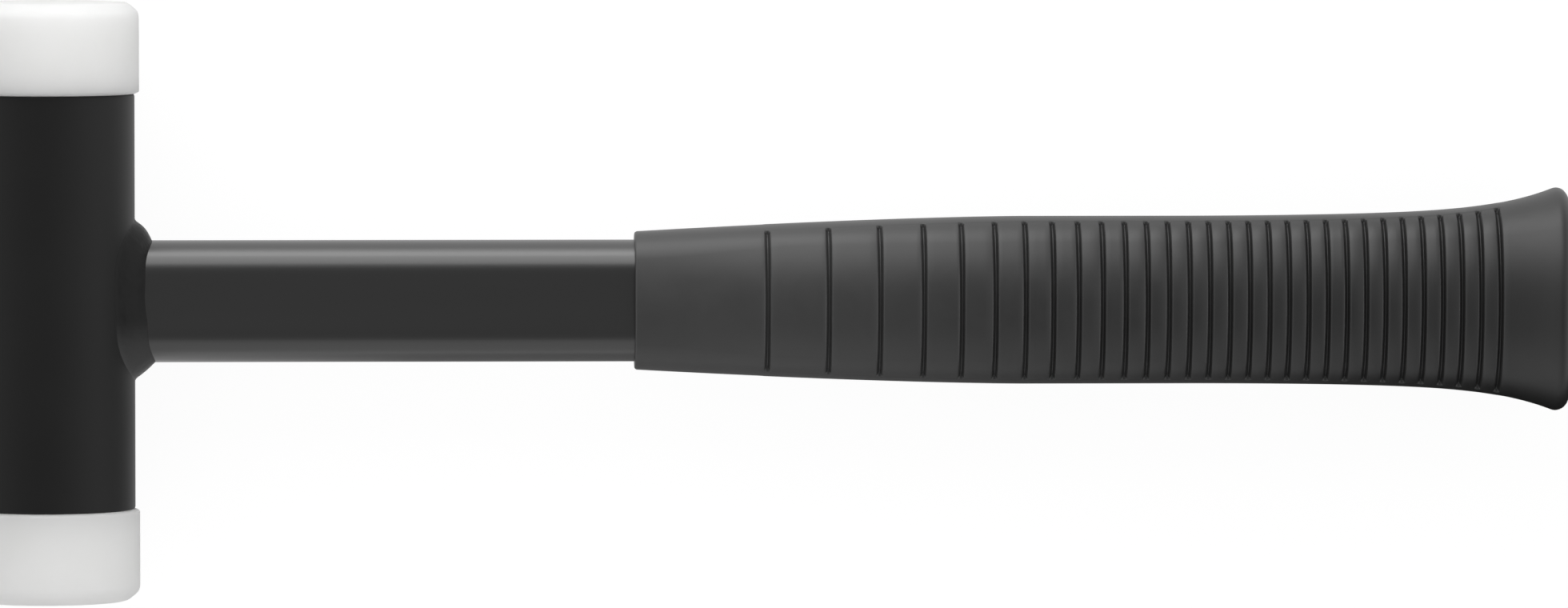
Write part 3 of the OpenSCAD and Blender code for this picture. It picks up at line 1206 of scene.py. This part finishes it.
@dataclass
class Studio:
    """The white floor with its low sweep, the card of painted shade, the lamps, the dim room and
    the camera, whose angles are in degrees."""

    head: Head
    aim_x: float = 120.58 * MM
    aim_y: float = -0.63 * MM
    distance: float = 1.85
    field: float = 257.3 * MM
    yaw: float = 2.3
    tilt: float = 2.95
    roll: float = -0.1
    sensor_mm: float = 36.0
    clip_end: float = 100.0
    floor_hub: float = 0.5
    floor_r: float = 7.4
    floor_rows: int = 8
    floor_columns: int = 96
    floor_gap: float = 0.05 * MM
    sweep_h: float = 0.6
    sweep_rows: int = 12
    paper_white: str = "#fafafa"
    paper_grey: str = "#646464"
    backdrop_share: float = 0.88
    backdrop_strength: float = 1.06
    room_white: str = "#ffffff"
    room_middle: float = 0.22
    room_lean: float = 0.24
    room_rise: float = 1.12
    lamps: tuple[Softbox, ...] = (
        Softbox(
            "key_softbox", HeadEnd.FRONT, along=-0.17, elevation=32.0,
            distance=0.55, width=0.7, height=0.48, radiance=1.33,
        ),
        Softbox(
            "low_strip", HeadEnd.FRONT, along=-0.17, elevation=11.0,
            distance=0.55, width=0.7, height=0.26, radiance=1.08,
        ),
        Softbox(
            "fill_softbox", HeadEnd.REAR, along=-0.15, elevation=28.0,
            distance=0.7, width=0.7, height=0.62, radiance=0.34,
        ),
        Softbox(
            "chin_light", HeadEnd.REAR, along=-0.155, elevation=4.0,
            distance=0.16, width=0.09, height=0.05, radiance=1.7, reflected=False,
        ),
    )

    def build_floor(self) -> Piece:
        """Makes the floor: a wide disc whose rim rises in a quarter sweep, spun round the middle.

        Returns:
            The floor, just under the hammer.
        """
        quarter = np.linspace(0.0, np.pi / 2, self.sweep_rows)
        level = np.linspace(self.floor_hub, self.floor_r, self.floor_rows)
        sweep_r = self.floor_r + self.sweep_h * np.sin(quarter)
        radius = np.concatenate([level, sweep_r])[:, None]
        height = np.concatenate([0 * level, self.sweep_h * (1 - np.cos(quarter))])[:, None]
        t = np.linspace(0.0, 2 * np.pi, self.floor_columns, endpoint=False)
        z = CAD_BOX[0].z - self.floor_gap + height + 0 * t
        grid = np.stack([radius * np.cos(t), radius * np.sin(t), z], axis=-1)
        hub = list(range(self.floor_columns))
        rings = wrap_faces(len(radius), self.floor_columns)[:, ::-1].tolist()
        return add_mesh("studio_floor", grid.reshape(-1, 3), [hub, *rings])

    def floor_paper(self) -> Material:
        """Builds the floor's white paper.

        Where the camera or a reflection sees it, most of its white is its own, and the rest takes
        the shadow. Other light meets it as grey, so that it throws little of it back at the hammer.

        Returns:
            The material.
        """
        material, tree, _ = new_material("white_paper_matt")
        seen: Any = 0.0
        for ray in ("Is Camera Ray", "Is Glossy Ray", "Is Transmission Ray"):
            hit = add_node(tree, "LightPath", {}, out=ray)
            seen = add_node(tree, "Math", {0: seen, 1: hit}, operation="MAXIMUM")
        share = add_node(tree, "Math", {0: seen, 1: self.backdrop_share}, operation="MULTIPLY")
        colours = {0: seen, 6: linear(self.paper_grey), 7: linear(self.paper_white)}
        tint = add_node(tree, "Mix", colours, out=2, data_type="RGBA")
        paper = add_node(tree, "BsdfDiffuse", {"Color": tint})
        glow = add_node(tree, "Emission", {"Strength": self.backdrop_strength})
        mixed = add_node(tree, "MixShader", {0: share, 1: paper, 2: glow})
        add_node(tree, "OutputMaterial", {"Surface": mixed})
        return material

    def light_room(self) -> None:
        """Gives the room its dim light: middle + lean x + rise x^2, where x is the way along X.

        It is dimmest over the hammer, and brighter past the butt than past the head.
        """
        world = bpy.data.worlds.new("dim_room")
        world.use_nodes = True
        tree = world.node_tree
        tree.nodes.clear()
        way = add_node(tree, "TexCoord", {}, out="Generated")
        level: Any = self.room_rise
        along = add_node(tree, "SeparateXYZ", {"Vector": way}, out="X")
        for term in (self.room_lean, self.room_middle):
            sums = {0: level, 1: along, 2: term}
            level = add_node(tree, "Math", sums, operation="MULTIPLY_ADD")
        colour = {"Color": linear(self.room_white), "Strength": level}
        light = add_node(tree, "Background", colour)
        add_node(tree, "OutputWorld", {"Surface": light})
        bpy.context.scene.world = world

    def place_camera(self) -> None:
        """Sets up the camera at the photograph's angle: nearly straight down on the side."""
        target = self.head.axis + Vector((self.aim_x, self.aim_y, 0.0))
        yaw, tilt, roll = (math.radians(angle) for angle in (self.yaw, self.tilt, self.roll))
        back = Vector((-math.sin(yaw), math.sin(tilt), 0.0))
        back.z = math.sqrt(1 - back.length_squared)
        right = (Vector((1.0, 0.0, 0.0)) - back * back.x).normalized()
        up = back.cross(right)
        rolled = (
            right * math.cos(roll) + up * math.sin(roll),
            up * math.cos(roll) - right * math.sin(roll),
            back,
        )
        data = bpy.data.cameras.new("photo_camera")
        data.sensor_width = self.sensor_mm
        data.lens = self.sensor_mm * self.distance / self.field
        data.clip_end = self.clip_end
        camera = bpy.data.objects.new("photo_camera", data)
        turn = Matrix(rolled).transposed().to_4x4()
        camera.matrix_world = Matrix.Translation(target + back * self.distance) @ turn
        bpy.context.scene.collection.objects.link(camera)
        bpy.context.scene.camera = camera

    def build(self) -> None:
        """Builds the floor, the light and the camera."""
        floor = self.build_floor()
        floor.data.materials.append(self.floor_paper())
        Flag().place(CAD_BOX[0].z - self.floor_gap)
        middle = Vector((0.0, 0.0, self.head.axis.z))
        for lamp in self.lamps:
            lamp.place(middle)
        self.light_room()
        self.place_camera()
        bpy.context.scene.view_settings.view_transform = "Standard"


def main() -> None:
    """Builds the hammer's pieces in order, then the studio round it."""
    logging.basicConfig(level=logging.INFO, format="%(name)s: %(message)s")
    head = Head()
    head.dress()
    StrikingFace(head).dress()
    dress_node("steel_shot", TUMBLED_STEEL.make())
    shaft = Shaft(head)
    shaft.dress()
    Grip(shaft).dress()
    Studio(head).build()


if __name__ == "__main__":
    main()
